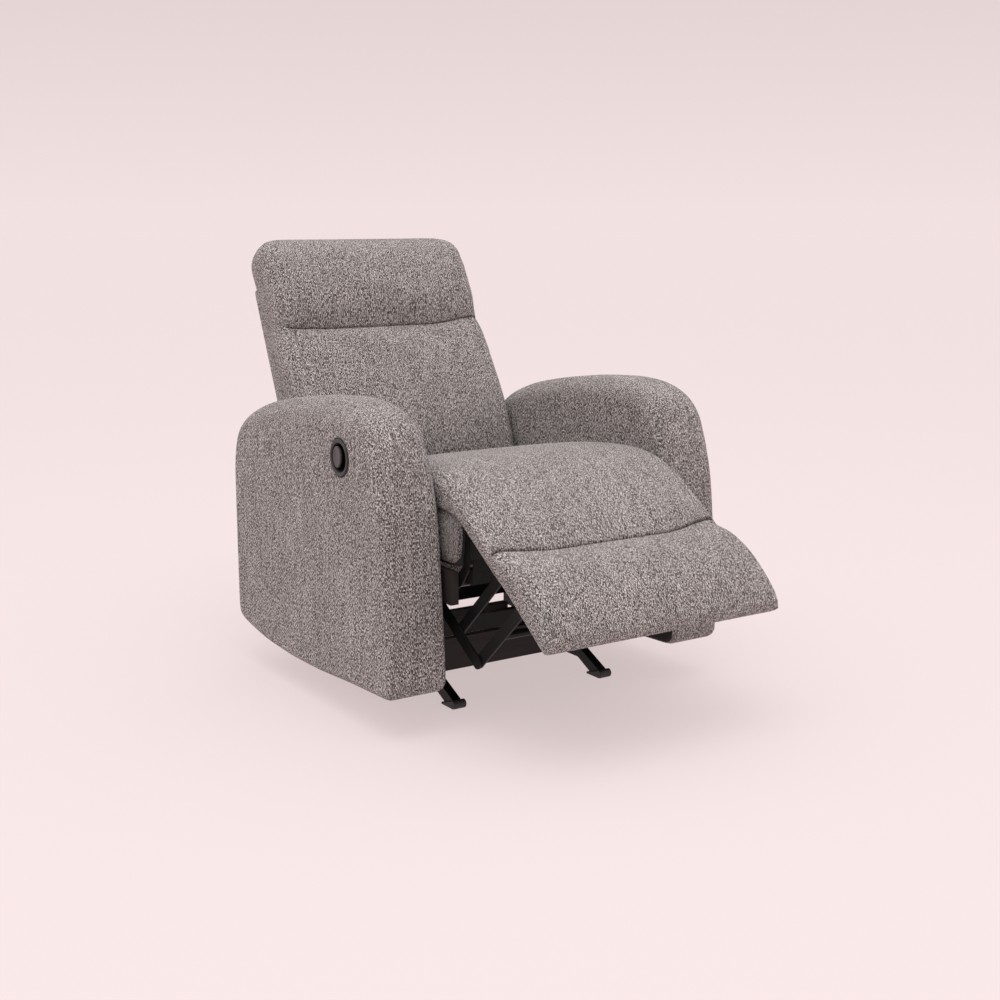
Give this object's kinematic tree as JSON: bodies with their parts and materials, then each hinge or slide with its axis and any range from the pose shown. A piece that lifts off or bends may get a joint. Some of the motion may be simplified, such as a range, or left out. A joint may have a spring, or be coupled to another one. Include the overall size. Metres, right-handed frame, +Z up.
{
  "type": "recliner armchair",
  "caption": "Upholstered glider recliner with padded arms, a reclining back with a head pillow, and a leg rest on a linkage worked by a pull latch in one arm.",
  "frame": {"origin": "on the floor, under the middle of the overall bounding box in the rest pose (leg rest raised, back upright)", "axes": "+X to the sitter's left, +Y to the rear of the chair, +Z up; the sitter faces -Y"},
  "size_m": [0.8232, 1.2392, 0.9267],
  "materials": {
    "upholstery": "heathered woven fabric",
    "lining": "black lining cloth",
    "steel": "black powder coat",
    "wood": "dark stained plywood",
    "plastic": "satin black",
    "spring_steel": "bare spring wire",
    "cable": "black cable sheath"
  },
  "bodies": {
    "base": {"base_rail_left": "steel", "base_rail_right": "steel", "foot_shoe_front_left": "plastic", "foot_shoe_front_right": "plastic", "foot_shoe_rear_left": "plastic", "foot_shoe_rear_right": "plastic", "glide_hanger_left": "steel", "glide_hanger_right": "steel", "base_cross_front": "wood", "base_cross_rear": "wood"},
    "swing_front": {"swing_arm_front_left": "steel", "swing_arm_front_right": "steel"},
    "swing_rear": {"swing_arm_rear_left": "steel", "swing_arm_rear_right": "steel"},
    "chassis": {"glide_carrier_left": "steel", "glide_carrier_right": "steel", "chassis_cross_front": "steel", "chassis_cross_rear": "steel", "side_plate_left": "steel", "side_plate_right": "steel", "recline_plate_left": "steel", "recline_plate_right": "steel", "side_rail_left": "wood", "side_rail_right": "wood", "front_rail": "wood", "rear_rail": "wood", "rear_apron": "upholstery", "seat_front_liner": "lining", "seat_spring_1": "spring_steel", "seat_spring_2": "spring_steel", "seat_spring_3": "spring_steel", "seat_spring_4": "spring_steel", "seat_cushion": "upholstery", "arm_panel_left": "wood", "arm_panel_right": "wood", "arm_pad_left": "upholstery", "arm_pad_right": "upholstery", "latch_housing": "plastic", "release_cable": "cable"},
    "legrest": {"legrest_board": "wood", "legrest_pad_upper": "upholstery", "legrest_pad_lower": "upholstery", "legrest_bracket_left": "steel", "legrest_bracket_right": "steel"},
    "lower_links": {"lower_link_left": "steel", "lower_link_right": "steel", "torque_tube": "steel"},
    "front_struts": {"front_strut_left": "steel", "front_strut_right": "steel", "strut_tube": "steel"},
    "rear_struts": {"rear_strut_left": "steel", "rear_strut_right": "steel"},
    "backrest": {"back_frame": "wood", "back_panel": "upholstery", "back_cushion": "upholstery", "head_pillow": "upholstery", "back_bracket_left": "steel", "back_bracket_right": "steel"},
    "latch": {"latch_paddle": "plastic"}
  },
  "joints": [
    {"name": "glide", "type": "hinge", "parent": "base", "child": "swing_front", "pos_m": [0, 0.035, 0.205], "axis": [1, 0, 0], "range_deg": [-20, 20]},
    {"name": "glide_seat", "type": "hinge", "parent": "swing_front", "child": "chassis", "pos_m": [0, 0.035, 0.085], "axis": [1, 0, 0], "range_deg": [-20, 20]},
    {"name": "glide_rear", "type": "hinge", "parent": "base", "child": "swing_rear", "pos_m": [0, 0.185, 0.205], "axis": [1, 0, 0], "range_deg": [-20, 20]},
    {"name": "recline", "type": "hinge", "parent": "chassis", "child": "backrest", "pos_m": [0, 0.336, 0.314], "axis": [-1, 0, 0], "range_deg": [0, 30]},
    {"name": "legrest_lift", "type": "hinge", "parent": "chassis", "child": "legrest", "pos_m": [0, -0.312, 0.404], "axis": [1, 0, 0], "range_deg": [-20, 53]},
    {"name": "lower_link_turn", "type": "hinge", "parent": "chassis", "child": "lower_links", "pos_m": [0, -0.165, 0.266], "axis": [1, 0, 0], "range_deg": [-20, 53]},
    {"name": "front_strut_turn", "type": "hinge", "parent": "lower_links", "child": "front_struts", "pos_m": [0, -0.34152, 0.15224], "axis": [1, 0, 0], "range_deg": [-53, 20]},
    {"name": "rear_strut_turn", "type": "hinge", "parent": "lower_links", "child": "rear_struts", "pos_m": [0, -0.27091, 0.19775], "axis": [1, 0, 0], "range_deg": [-53, 20]},
    {"name": "latch_pull", "type": "hinge", "parent": "chassis", "child": "latch", "pos_m": [-0.4085, -0.079, 0.531], "axis": [0, 0, -1], "range_deg": [0, 22], "stiffness_Nm_per_rad": 0.4}
  ],
  "couplings": [
    {"joint": "glide_seat", "follows": "glide", "ratio": -1},
    {"joint": "glide_rear", "follows": "glide", "ratio": 1},
    {"joint": "lower_link_turn", "follows": "legrest_lift", "ratio": 1},
    {"joint": "front_strut_turn", "follows": "legrest_lift", "ratio": -1},
    {"joint": "rear_strut_turn", "follows": "legrest_lift", "ratio": -1}
  ]
}
